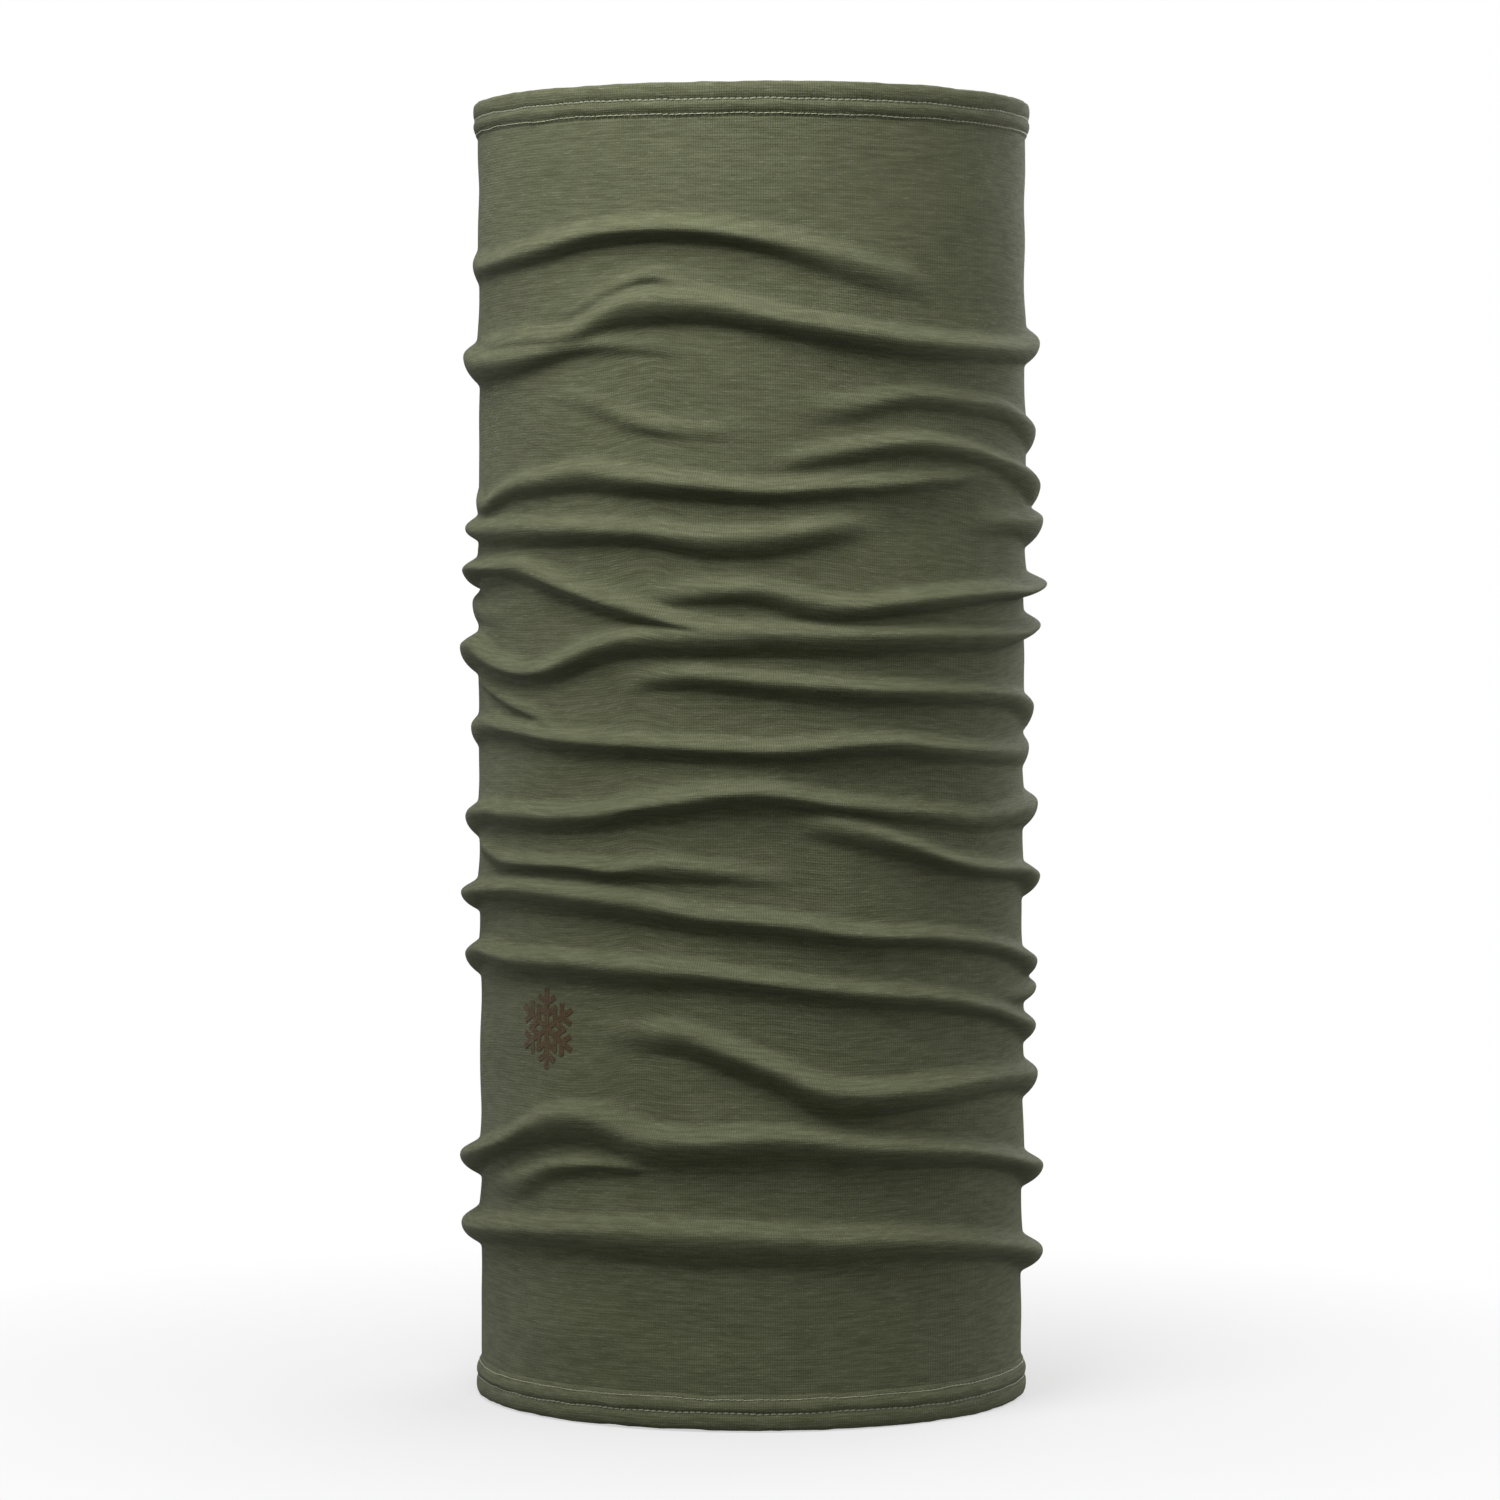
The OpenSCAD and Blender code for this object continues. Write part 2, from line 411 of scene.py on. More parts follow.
# each fold is its crown, which is how far the roll goes on above its lit edge, and its points:
# (turn in degrees from the front, height of the lit edge, reach, drop to the crease below)
folds = [
    # under the top hem, across the front and up the left
    (2.2, [
        (-125, 326, 0, 5), (-90, 330, 1.5, 5), (-62, 332, 3, 5), (-46, 335, 4, 6),
        (-32, 338, 4.5, 5), (-8, 338, 4.5, 5), (5, 335, 4, 6), (15, 332, 3.2, 8), (28, 327, 2, 8),
        (42, 323, 0, 6)]),
    (1.6, [
        (95, 331, 0, 5), (125, 334, 3, 5), (160, 331, 4, 6), (195, 334, 3, 5), (225, 336, 0, 5)]),
    # once round and back under its own start
    (2.2, [
        (-85, 307, 0, 5), (-68, 308, 2, 5), (-50, 309, 3, 5), (-38, 310, 3.5, 6), (-28, 317, 4, 8),
        (-20, 319, 4.8, 9), (-8, 318, 4.8, 8), (5, 314, 4.8, 7), (28, 309, 4.5, 7), (58, 307, 4, 6),
        (88, 308, 4.5, 6), (130, 311, 4, 6), (180, 307, 4.5, 6), (225, 303, 4.5, 7),
        (273, 304, 4.6, 8), (296, 304, 4.5, 8), (312, 305, 3.8, 6), (322, 307, 2.6, 5),
        (338, 306, 1.1, 4), (352, 304, 0, 4)]),
    (1.2, [
        (-45, 294, 0, 5), (-36, 292, 1.2, 5), (-23, 285, 1.9, 5), (-12, 283, 1.3, 5),
        (2, 283, 0, 5)]),
    # a short one that forks off above
    (1.0, [
        (-44, 314, 0, 4), (-36, 318, 1.3, 4), (-26, 324, 1.7, 4), (-20, 326, 1.9, 4),
        (-13, 322, 1.7, 4), (-5, 318, 0, 4)]),
    # two folds that run together on the right
    (1.4, [
        (8, 289, 0, 7), (19, 290, 1.9, 7), (33, 293, 2.7, 6), (47, 292, 2.9, 6), (63, 290, 3, 6),
        (85, 283, 3, 6), (110, 279, 2.5, 5), (140, 277, 0, 5)]),
    (1.4, [
        (3, 273, 0, 5), (12, 276, 2, 6), (21, 278, 3, 6), (33, 280, 4, 6), (44, 279, 4, 6),
        (58, 276, 4, 6), (71, 273, 4.5, 7), (87, 267, 4.8, 7), (125, 263, 4.5, 6), (170, 266, 4, 6),
        (210, 262, 3, 6), (245, 260, 0, 6)]),
    (1.6, [
        (-100, 262, 0, 5), (-80, 262, 1.5, 5), (-70, 263, 2.5, 5), (-57, 268, 3.5, 6),
        (-46, 270, 4, 7), (-35, 272, 4.5, 8), (-25, 270, 4.5, 7), (-12, 268, 4.5, 6),
        (5, 266, 4, 5), (15, 267, 3.5, 5), (28, 268, 3, 5), (44, 270, 2.5, 5), (54, 271, 1.5, 5),
        (66, 271, 0, 5)]),
    (1.6, [
        (48, 257, 0, 6), (65, 258, 3, 6), (88, 257, 5.6, 8), (120, 254, 5, 7), (160, 251, 5, 6),
        (200, 255, 4.5, 6), (240, 256, 4.5, 7), (273, 254, 4.3, 3), (292, 256, 3.8, 7),
        (316, 256, 4, 7), (337, 255, 4, 6), (354, 253, 4.2, 8), (365, 254, 4, 8), (375, 256, 3, 7),
        (386, 257, 0, 6)]),
    # a long fold that winds down almost twice round
    (1.4, [
        (-24, 236, 0, 5), (-12, 238, 2.5, 6), (5, 238, 3.5, 7), (10, 236, 3.5, 8),
        (19, 234, 4.2, 7), (28, 235, 4.8, 6), (44, 237, 5, 6), (58, 238, 5.5, 5), (75, 238, 6.5, 4),
        (88, 238, 7, 2), (115, 240, 6, 5), (150, 243, 5, 6), (190, 240, 5, 6), (230, 239, 5, 5),
        (273, 242, 5.2, 4), (283, 244, 5, 4), (298, 245, 4.2, 5), (307, 245, 3.8, 6),
        (316, 241, 4, 5), (328, 236, 4.5, 5), (337, 233, 4.5, 6), (346, 229, 4.5, 4),
        (354, 227, 4.5, 4), (366, 226, 4, 5)]),
    (1.6, [
        (-16, 227, 0, 8), (-4, 227, 4, 8), (15, 226, 4.5, 8), (38, 226, 4.5, 7), (58, 226, 4.8, 7),
        (87, 226, 5.4, 3), (120, 223, 5, 6), (160, 221, 5, 6), (200, 224, 5, 6), (240, 222, 5, 7),
        (273, 220, 5.6, 8), (283, 222, 5, 8), (298, 217, 4.5, 5), (307, 215, 4, 4),
        (314, 216, 4, 5), (322, 220, 4.5, 7), (330, 224, 4.5, 7), (346, 226, 4.5, 8),
        (358, 226, 4.5, 8), (372, 226, 0, 8)]),
    (1.2, [
        (-115, 231, 0, 6), (-90, 232, 2.6, 6), (-75, 232, 1.5, 6), (-58, 231, 0, 6)]),
    # a lower fold that leaves the front on the right and comes back on the left
    (1.4, [
        (-28, 213, 0, 6), (-14, 215, 3, 6), (5, 213, 3.8, 6), (23, 211, 4.2, 6), (44, 210, 4.2, 6),
        (68, 208, 3.8, 6), (87, 202, 3.2, 6), (130, 199, 3.5, 6), (180, 201, 4, 6),
        (230, 198, 3.5, 6), (273, 196, 2.5, 5), (292, 200, 3, 6), (302, 199, 3.3, 5),
        (316, 197, 3.8, 5), (346, 195, 4, 5), (365, 194, 4.2, 5), (388, 196, 4.2, 6),
        (404, 194, 4, 6), (428, 192, 3, 6), (447, 190, 2, 5), (475, 187, 2, 5), (500, 185, 0, 5)]),
    (0.8, [
        (-85, 212, 0, 3), (-69, 210, 1.5, 3), (-58, 206, 2, 3), (-50, 203, 2, 3), (-44, 198, 1, 3),
        (-39, 196, 0, 3)]),
    # one whole ring at mid height
    (1.6, [
        (-87, 170, 4.1, 6), (-71, 175, 4, 6), (-58, 175, 4, 6), (-44, 175, 4.2, 6),
        (-32, 176, 4.5, 6), (-23, 178, 4.8, 5), (-14, 180, 4.8, 6), (-6, 182, 4.8, 6),
        (5, 182, 4.8, 6), (12, 180, 4.2, 5), (23, 178, 3.5, 5), (38, 176, 3, 6), (51, 174, 3, 6),
        (68, 175, 3.5, 7), (87, 174, 4.5, 7), (120, 173, 4.5, 6), (165, 170, 5, 6),
        (210, 172, 4.5, 6), (273, 170, 4.1, 6)]),
    (1.0, [
        (-82, 166, 0, 5), (-68, 164, 2.5, 6), (-62, 162, 3, 6), (-50, 161, 3.5, 4),
        (-38, 161, 3.5, 4), (-28, 160, 3.5, 4), (-18, 162, 3, 7), (-10, 161, 2.5, 6),
        (0, 159, 1.2, 5), (10, 157, 0, 5)]),
    # another that winds down, from the right of the ring
    (1.6, [
        (6, 174, 0, 6), (17, 173, 2.5, 7), (23, 171, 3, 7), (33, 167, 4, 6), (44, 162, 4.8, 5),
        (59, 159, 5, 5), (70, 158, 5, 5), (87, 153, 5.5, 6), (115, 151, 5, 6), (150, 154, 4.5, 6),
        (190, 151, 5, 6), (230, 149, 5, 6), (273, 148, 5.4, 5), (289, 152, 4.8, 5),
        (310, 154, 4.8, 7), (322, 153, 4.8, 7), (332, 152, 4.8, 7), (342, 150, 4.5, 7),
        (350, 148, 4.5, 6), (365, 146, 4.2, 6), (383, 142, 4, 5), (398, 141, 4, 5),
        (411, 139, 4, 5), (430, 134, 4.2, 5), (447, 128, 4.7, 5), (480, 127, 4.5, 6),
        (520, 130, 4.5, 6), (560, 127, 4.5, 6), (600, 129, 4.5, 6), (633, 130, 4.5, 6),
        (649, 135, 4.5, 6), (662, 134, 4.5, 7), (682, 134, 4.5, 7), (697, 133, 4.5, 7),
        (710, 132, 4.2, 6), (725, 129, 4, 5), (743, 126, 4, 6), (758, 124, 4, 6), (771, 121, 4, 5),
        (784, 117, 4, 5), (803, 110, 4.1, 5), (825, 107, 2.5, 5), (850, 105, 0, 5)]),
    (0.8, [
        (60, 122, 0, 4), (75, 121, 2.5, 4), (90, 120, 4.2, 4), (115, 118, 3, 4), (140, 116, 0, 4)]),
    # the deep sag low on the right
    (2.2, [
        (-36, 117, 0, 7), (-21, 115, 2.5, 8), (-14, 115, 3.5, 8), (-6, 111, 4.8, 8),
        (5, 105, 5.2, 8), (15, 99, 5.8, 9), (24, 98, 5.8, 9), (33, 98, 5.8, 8), (44, 99, 5.2, 8),
        (69, 99, 4.8, 7), (87, 95, 4.7, 7), (115, 92, 4.5, 7), (150, 95, 3.5, 7), (185, 97, 2, 7),
        (215, 98, 0, 7)]),
    # the two full rings above the bottom hem
    (2.2, [
        (-87, 71, 6.5, 6), (-71, 77, 5.5, 6), (-58, 82, 5, 6), (-50, 87, 5, 8), (-44, 90, 5.2, 10),
        (-37, 91, 5.2, 10), (-30, 90, 5.2, 10), (-23, 86, 5.2, 10), (-14, 85, 5.5, 9),
        (6, 86, 5.6, 9), (24, 83, 5.6, 8), (39, 81, 5.6, 7), (55, 78, 6, 6), (69, 74, 6, 5),
        (87, 68, 6.4, 6), (120, 66, 6, 7), (165, 70, 5.5, 8), (210, 68, 6, 8), (273, 71, 6.5, 6)]),
    (1.0, [
        (-72, 69, 0, 8), (-54, 72, 2.2, 9), (-44, 76, 3, 6), (-35, 77, 3, 4), (-28, 77, 2.5, 3),
        (-18, 76, 0, 3)]),
    (2.6, [
        (-87, 51, 5.7, 6), (-69, 55, 5, 7), (-50, 57, 4.6, 7), (-28, 59, 4.6, 10),
        (-14, 59, 4.6, 11), (6, 58, 4.6, 10), (15, 57, 4.6, 9), (33, 56, 4.6, 8), (51, 53, 5, 7),
        (69, 49, 6, 6), (87, 43, 6.6, 6), (120, 45, 6, 7), (165, 48, 5.5, 8), (210, 46, 5.5, 8),
        (245, 48, 5.5, 7), (273, 51, 5.7, 6)]),
]


# smooth curve through chosen points, at the places asked for
def throughPoints(at, xs, ys):
    slopes = np.gradient(ys, xs)
    k = np.clip(np.searchsorted(xs, at) - 1, 0, len(xs) - 2)
    gap = xs[k + 1] - xs[k]
    t = (at - xs[k]) / gap
    rise = (1 + 2 * t) * (1 - t) ** 2 * ys[k] + t * t * (3 - 2 * t) * ys[k + 1]
    return rise + t * (1 - t) ** 2 * gap * slopes[k] + t * t * (t - 1) * gap * slopes[k + 1]


# soften a field of (turn, height); the turn closes on itself and the height doesn't
def soften(field, turnCells, heightCells):
    for axis, cells, mode in ((0, turnCells, "wrap"), (1, heightCells, "edge")):
        half = int(3 * cells) + 1
        weights = np.exp(-0.5 * (np.arange(-half, half + 1) / cells) ** 2)
        weights /= weights.sum()
        pad = [(0, 0), (0, 0)]
        pad[axis] = (half, half)
        padded = np.pad(field, pad, mode=mode)
        field = sum(
            w * np.take(padded, np.arange(field.shape[axis]) + i, axis=axis)
            for i, w in enumerate(weights)
        )
    return field


turnStep = 0.5
levelStep = 0.25
turns = np.arange(-180, 180, turnStep)
levels = np.arange(0, wornHeight / mm + levelStep, levelStep)


# how far the folds stand out, in millimetres, at each turn and height
def foldHeights():
    shape = foldShape
    total = np.zeros((len(turns), len(levels)))
    for crown, points in folds:
        turn, crest, reach, drop = np.array(points, float).T
        for lap in (0, 360, 720):
            at = turns + lap
            inside = (at >= turn[0]) & (at <= turn[-1])
            if not inside.any():
                continue
            at = at[inside]
            reachHere = np.maximum(throughPoints(at, turn, reach), 0)[:, None]
            crestHere = throughPoints(at, turn, crest)[:, None]
            dropHere = np.maximum(throughPoints(at, turn, drop), shape["leastDrop"])[:, None]
            # folds sag at the front and the back, and stand up straighter at the sides
            facing = np.abs(np.cos(np.radians(at)))[:, None] / shape["turnAway"]
            facing = np.clip(facing, 0, 1)
            tipDrop = shape["tipBelow"] - shape["lean"] * reachHere
            lit = crestHere - shape["settle"] * facing + tipDrop * (1 - facing)
            topHere = lit + crown
            tipHere = lit - tipDrop
            valleyHere = crestHere - shape["settle"] - dropHere
            valleyHere = np.minimum(valleyHere, tipHere - shape["leastDrop"])
            # a soft slope above, a rounded roll, and a steep underside down to the crease
            slopeLength = shape["slopePerCrown"] * crown + shape["slopeLeast"]
            slope = np.clip((levels - tipHere) / slopeLength, 0, 1)
            above = np.clip((levels - tipHere) / (topHere - tipHere), 0, 1)
            below = np.clip((tipHere - levels) / (tipHere - valleyHere), 0, 1)
            foot = shape["slopeShare"] * (1 - slope) ** 2
            blunt = shape["sideRound"] * (1 - facing)
            back = 1 - above ** (shape["backRound"] + blunt)
            belly = 1 - below ** (shape["bellyRound"] + blunt / 2)
            lump = reachHere * np.where(levels > tipHere, foot + (1 - foot) * back, belly)
            total[inside] = np.maximum(total[inside], lump)
    turnBlur, levelBlur = shape["blur"]
    return soften(total, turnBlur / turnStep, levelBlur / levelStep)


def clothRipple():
    dice = np.random.default_rng(ripple["seed"])
    waves = ripple["waves"]
    swell = np.zeros((len(turns), len(levels)))
    for _ in range(waves):
        laps = dice.integers(*ripple["laps"])
        length = dice.uniform(*ripple["lengths"])
        slant = dice.uniform(-1, 1)
        start = dice.uniform(0, math.tau)
        angle = np.radians(turns)[:, None] * laps + math.tau * levels / length * slant + start
        swell += np.cos(angle) / waves**0.5
    return swell


def tubeSurface():
    standing = foldHeights()
    taper = tube["bottomRadius"] + (tube["topRadius"] - tube["bottomRadius"]) * levels / levels[-1]
    fromHems = np.minimum(levels, levels[-1] - levels) - hemDepth / mm
    calm = np.clip(fromHems / ripple["calmNearHems"], 0, 1)
    radius = taper + standing * mm + clothRipple() * calm * ripple["depth"]
    height = levels * mm - foldShape["lean"] * standing * mm
    return standing, radius, height


# rows gather where the cloth bends, and run along the folds
def rowPlaces(standing, rows, low, high):
    slope = np.gradient(standing, levelStep, axis=1)
    bend = np.abs(np.gradient(slope, levelStep, axis=1)) / (1 + slope**2)
    turnBlur, levelBlur = tube["rowBlur"]
    weight = np.sqrt(1 + slope**2) * (1 + tube["rowsToBends"] * bend)
    weight = soften(weight, turnBlur / turnStep, levelBlur / levelStep)
    weight[:, (levels < low / mm) | (levels > high / mm)] = 0
    places = np.empty((len(turns), rows))
    for i, here in enumerate(weight):
        passed = np.cumsum(here)
        used = here > 0
        places[i] = np.interp(np.linspace(0, 1, rows), passed[used] / passed[-1], levels[used])
    return places


def gridNormals(points):
    aside = np.roll(points, -1, axis=0) - np.roll(points, 1, axis=0)
    up = np.gradient(points, axis=1)
    normal = np.cross(aside, up)
    return normal / np.linalg.norm(normal, axis=2, keepdims=True)


def meshObject(name, vertices, faces):
    mesh = bpy.data.meshes.new(name)
    mesh.from_pydata(vertices, [], faces)
    mesh.update()
    return addObject(name, mesh)


def shadeSmooth(mesh):
    mesh.polygons.foreach_set("use_smooth", [True] * len(mesh.polygons))


# UVs in metres: round the tube by the turn, and along by a value kept on each vertex
def unroll(mesh, along):
    layer = mesh.uv_layers.new(name="UVMap")
    corner = np.empty(len(mesh.loops), int)
    mesh.loops.foreach_get("vertex_index", corner)
    place = np.empty(len(mesh.vertices) * 3)
    mesh.vertices.foreach_get("co", place)
    place = place.reshape(-1, 3)
    turn = np.arctan2(place[:, 0], -place[:, 1])[corner]
    sizes = np.empty(len(mesh.polygons), int)
    starts = np.empty(len(mesh.polygons), int)
    mesh.polygons.foreach_get("loop_total", sizes)
    mesh.polygons.foreach_get("loop_start", starts)
    first = np.repeat(turn[starts], sizes)
    turn = first + (turn - first + math.pi) % math.tau - math.pi
    flat = np.column_stack([turn * clothRadius, along[corner]])
    layer.data.foreach_set("uv", flat.ravel())


def surfacePoints(radius, height, turnIndex, places):
    r = np.array([np.interp(p, levels, radius[i]) for i, p in zip(turnIndex, places)])
    z = np.array([np.interp(p, levels, height[i]) for i, p in zip(turnIndex, places)])
    angle = np.radians(turns[turnIndex])[:, None]
    return np.stack([r * np.sin(angle), -r * np.cos(angle), z], axis=2)


def makeTube():
    standing, radius, height = tubeSurface()
    places = rowPlaces(standing, tube["rows"], tube["lowEnd"], tube["highEnd"])
    turnIndex = np.arange(0, len(turns), len(turns) // tube["columns"])
    outer = surfacePoints(radius, height, turnIndex, places[turnIndex])
    normal = gridNormals(outer)
    steps = np.linalg.norm(np.diff(outer, axis=1), axis=2)
    along = np.concatenate([np.zeros((len(outer), 1)), np.cumsum(steps, axis=1)], axis=1)
    clothLength = along[:, -1].mean()
    along *= clothLength / along[:, -1:]
    # the inside is half as fine as the outside
    inner = (outer - normal * tube["thickness"])[::2, ::2]
    columns, rows = outer.shape[:2]
    innerColumns, innerRows = inner.shape[:2]
    vertices = np.concatenate([outer.reshape(-1, 3), inner.reshape(-1, 3)])
    alongAll = np.concatenate([along.ravel(), along[::2, ::2].ravel()])
    offset = columns * rows
    faces = []
    for c in range(columns):
        d = (c + 1) % columns
        for r in range(rows - 1):
            faces.append((c * rows + r, d * rows + r, d * rows + r + 1, c * rows + r + 1))
    for c in range(innerColumns):
        d = (c + 1) % innerColumns
        a, b = offset + c * innerRows, offset + d * innerRows
        for r in range(innerRows - 1):
            faces.append((a + r, a + r + 1, b + r + 1, b + r))
        # each end is closed between two outer columns and one inner column
        k, m, n = 2 * c * rows, (2 * c + 1) * rows, (2 * c + 2) % columns * rows
        faces.append((a, b, n, m, k))
        last, innerLast = rows - 1, innerRows - 1
        faces.append((a + innerLast, k + last, m + last, n + last, b + innerLast))
    piece = meshObject("knitTube", vertices.tolist(), faces)
    shadeSmooth(piece.data)
    unroll(piece.data, alongAll)
    piece.data.materials.append(tubeCloth)
    print("tube knitted:", len(faces), "faces, cloth length", round(clothLength, 4))
    return piece, radius, height, clothLength


knitTube, tubeRadius, tubeHeight, clothLength = makeTube()


# Geometry Nodes trees: each sews one kind of piece round the neck, from named sizes
def newSewingTree(name, sizes):
    inputs = {"Geometry": "Geometry", "Stitches": "Int"}
    inputs.update(dict.fromkeys(sizes, "Float"), Material="Material")
    tree, given, out = newTree(name, "GeometryNodeTree", inputs, {"Geometry": "Geometry"})
    return tree, given.outputs, out


def bakeTree(tree, name, values, base=None):
    base = base or addObject(name + "Base", bpy.data.meshes.new(name + "Base"))
    modifier = base.modifiers.new("shape", "NODES")
    modifier.node_group = tree
    values = {"Stitches": hem["stitches"], "Wander": hem["wander"], **values}
    for item in tree.interface.items_tree:
        if item.in_out == "INPUT" and item.name in values:
            modifier[item.identifier] = values[item.name]
    ready = base.evaluated_get(bpy.context.evaluated_depsgraph_get())
    mesh = bpy.data.meshes.new_from_object(ready)
    base.modifiers.remove(modifier)
    bpy.data.objects.remove(base)
    mesh.name = name
    shadeSmooth(mesh)
    return addObject(name, mesh)


def finishTree(tree, value, out, geometry):
    real = addNode(tree, "GeometryNodeRealizeInstances", {0: geometry})
    inputs = {"Geometry": real.outputs[0], "Material": value["Material"]}
    finish = addNode(tree, "GeometryNodeSetMaterial", inputs)
    feedAll(tree, out, {"Geometry": finish.outputs[0]})


def whereNow(tree):
    position = addNode(tree, "GeometryNodeInputPosition").outputs[0]
    return addNode(tree, "ShaderNodeSeparateXYZ", {0: position}).outputs


# how the rows of stitches wander up and down: waves of two lengths round the neck
wandering = {"slow": 2.2, "quick": 9.0, "quickShare": 0.8}


# turn round the neck, and how far the cloth wanders up and down there
def makeRingPlace():
    group, given, out = newTree(
        "ringPlace",
        "GeometryNodeTree",
        {"Seed": "Float"},
        {"Turn": "Float", "Wander": "Float", "Outward": "Vector"},
    )
    here = whereNow(group)
    turn = calc(group, "ARCTAN2", here[1], here[0])
    across, deep = calc(group, "COSINE", turn), calc(group, "SINE", turn)
    dice = joinVector(group, across, deep, given.outputs["Seed"])
    slow = calc(group, "SUBTRACT", noise(group, dice, wandering["slow"], 1.0), 0.5)
    quick = calc(group, "SUBTRACT", noise(group, dice, wandering["quick"], 1.0), 0.5)
    feedAll(group, out, {
        "Turn": turn,
        "Wander": calc(group, "MULTIPLY_ADD", quick, wandering["quickShare"], slow),
        "Outward": joinVector(group, across, deep, 0.0),
    })
    return group


ringPlace = makeRingPlace()


# the place on the ring, and the height there with the wander on it
def placeOnRing(tree, value, seed, height):
    place = addNode(tree, "GeometryNodeGroup", {"Seed": seed}, node_tree=ringPlace).outputs
    level = calc(tree, "ADD", times(tree, place["Wander"], value["Wander"]), height)
    return place, level


def vectorCalc(tree, operation, inputs):
    return addNode(tree, "ShaderNodeVectorMath", inputs, operation=operation).outputs


def moveBy(tree, geometry, offset):
    inputs = {"Geometry": geometry, "Offset": offset}
    return addNode(tree, "GeometryNodeSetPosition", inputs).outputs[0]


def sweep(tree, path, profile):
    inputs = {"Curve": path, "Profile Curve": profile, "Fill Caps": True}
    return addNode(tree, "GeometryNodeCurveToMesh", inputs).outputs[0]


def circle(tree, points, radius):
    inputs = {"Resolution": points, "Radius": radius}
    return addNode(tree, "GeometryNodeCurvePrimitiveCircle", inputs).outputs[0]


hem = {
    "stitches": 265,
    "edgeRow": 4.9 * mm,
    "bodyRow": 9.0 * mm,
    "bottomBore": boreRadius - 0.4 * mm,
    "bottomRise": 0.35 * mm,
    "pucker": 0.22 * mm,
    "puckerWidth": 1.1 * mm,
    "outsideFrom": 1.2 * mm,
    "wander": 1.1 * mm,
    "drift": 45,
    "stepsPerStitch": 4,
    # the section, from the raw edge inside, over the rolled edge, to the step outside:
    # millimetres out from the bore, and in from the edge
    "section": [
        (0.70, 10.30), (0.20, 10.25), (0.03, 10.00), (0.05, 9.60), (0.26, 9.20), (0.30, 8.00),
        (0.30, 6.50), (0.28, 5.20), (0.20, 4.70), (0.03, 4.20), (0.02, 3.00), (0.06, 2.00),
        (0.22, 1.15), (0.50, 0.50), (0.85, 0.13), (1.25, 0.00), (1.65, 0.12), (2.02, 0.42),
        (2.30, 0.95), (2.44, 1.70), (2.48, 2.60), (2.42, 3.50), (2.26, 4.20), (2.05, 4.65),
        (1.98, 4.90), (2.06, 5.20), (2.30, 5.70), (2.43, 6.25), (2.42, 6.80), (2.30, 7.35),
        (2.11, 7.90), (1.90, 8.35), (1.70, 8.75), (1.58, 9.05), (1.48, 9.35), (1.36, 9.65),
        (1.22, 9.90), (1.04, 10.20)],
}

# both hems: where the edge is, which way is into the gaiter, the bore there, and the seed
ends = {
    "top": (wornHeight, -1, boreRadius, 3.0),
    "bottom": (hem["bottomRise"], 1, hem["bottomBore"], 8.0),
}


def makeHemTree():
    sizes = ("Bore", "Edge height", "Edge row", "Body row", "Pucker", "Wander", "Drift", "Seed")
    tree, value, out = newSewingTree("rolledHem", sizes)
    points = times(tree, value["Stitches"], hem["stepsPerStitch"])
    cloth = sweep(tree, circle(tree, points, value["Bore"]), value["Geometry"])
    here = whereNow(tree)
    depth = calc(tree, "ABSOLUTE", here[2])
    seed = calc(tree, "MULTIPLY_ADD", depth, value["Drift"], value["Seed"])
    place, level = placeOnRing(tree, value, seed, value["Edge height"])
    # the needles pull the cloth in between one stitch and the next
    wave = calc(tree, "COSINE", times(tree, place["Turn"], value["Stitches"]))
    pulled = calc(tree, "MULTIPLY_ADD", wave, -0.5, 0.5)
    near = 0.0
    for row in ("Edge row", "Body row"):
        away = calc(tree, "ABSOLUTE", calc(tree, "SUBTRACT", depth, value[row]))
        near = calc(tree, "ADD", near, remap(tree, away, 0.0, hem["puckerWidth"], 1.0, 0.0))
    squares = [calc(tree, "POWER", here[i], 2) for i in (0, 1)]
    spread = calc(tree, "SQRT", calc(tree, "ADD", *squares))
    reach = calc(tree, "SUBTRACT", spread, value["Bore"])
    outside = calc(tree, "GREATER_THAN", reach, hem["outsideFrom"])
    pull = times(tree, times(tree, pulled, near), outside)
    pull = times(tree, pull, times(tree, value["Pucker"], -1.0))
    inwards = vectorCalc(tree, "SCALE", {0: place["Outward"], "Scale": pull})[0]
    offset = vectorCalc(tree, "ADD", {0: inwards, 1: joinVector(tree, 0.0, 0.0, level)})[0]
    finishTree(tree, value, out, moveBy(tree, cloth, offset))
    return tree


def makeHem(end):
    edge, inwards, bore, seed = ends[end]
    name = end + "Hem"
    section = np.array(hem["section"]) * mm
    # a swept section's second coordinate runs downwards
    section[:, 1] *= -inwards
    if inwards > 0:
        section = section[::-1]
    data = bpy.data.curves.new(name, "CURVE")
    data.dimensions = "3D"
    line = data.splines.new("POLY")
    line.points.add(len(section) - 1)
    blank = np.zeros(len(section))
    line.points.foreach_set("co", np.column_stack([section, blank, blank + 1]).ravel())
    line.use_cyclic_u = True
    piece = bakeTree(hemTree, name, {
        "Bore": bore,
        "Edge height": edge,
        "Edge row": hem["edgeRow"],
        "Body row": hem["bodyRow"],
        "Pucker": hem["pucker"],
        "Drift": hem["drift"],
        "Seed": seed,
        "Material": hemCloth,
    }, addObject(name + "Section", data))
    steps = np.linalg.norm(np.diff(section, axis=0), axis=1)
    along = np.concatenate([[0], np.cumsum(steps)])
    unroll(piece.data, np.resize(along, len(piece.data.vertices)))
    print(name, "made:", len(piece.data.polygons), "faces")
    return piece


hemTree = makeHemTree()
topHem, bottomHem = [makeHem(end) for end in ends]

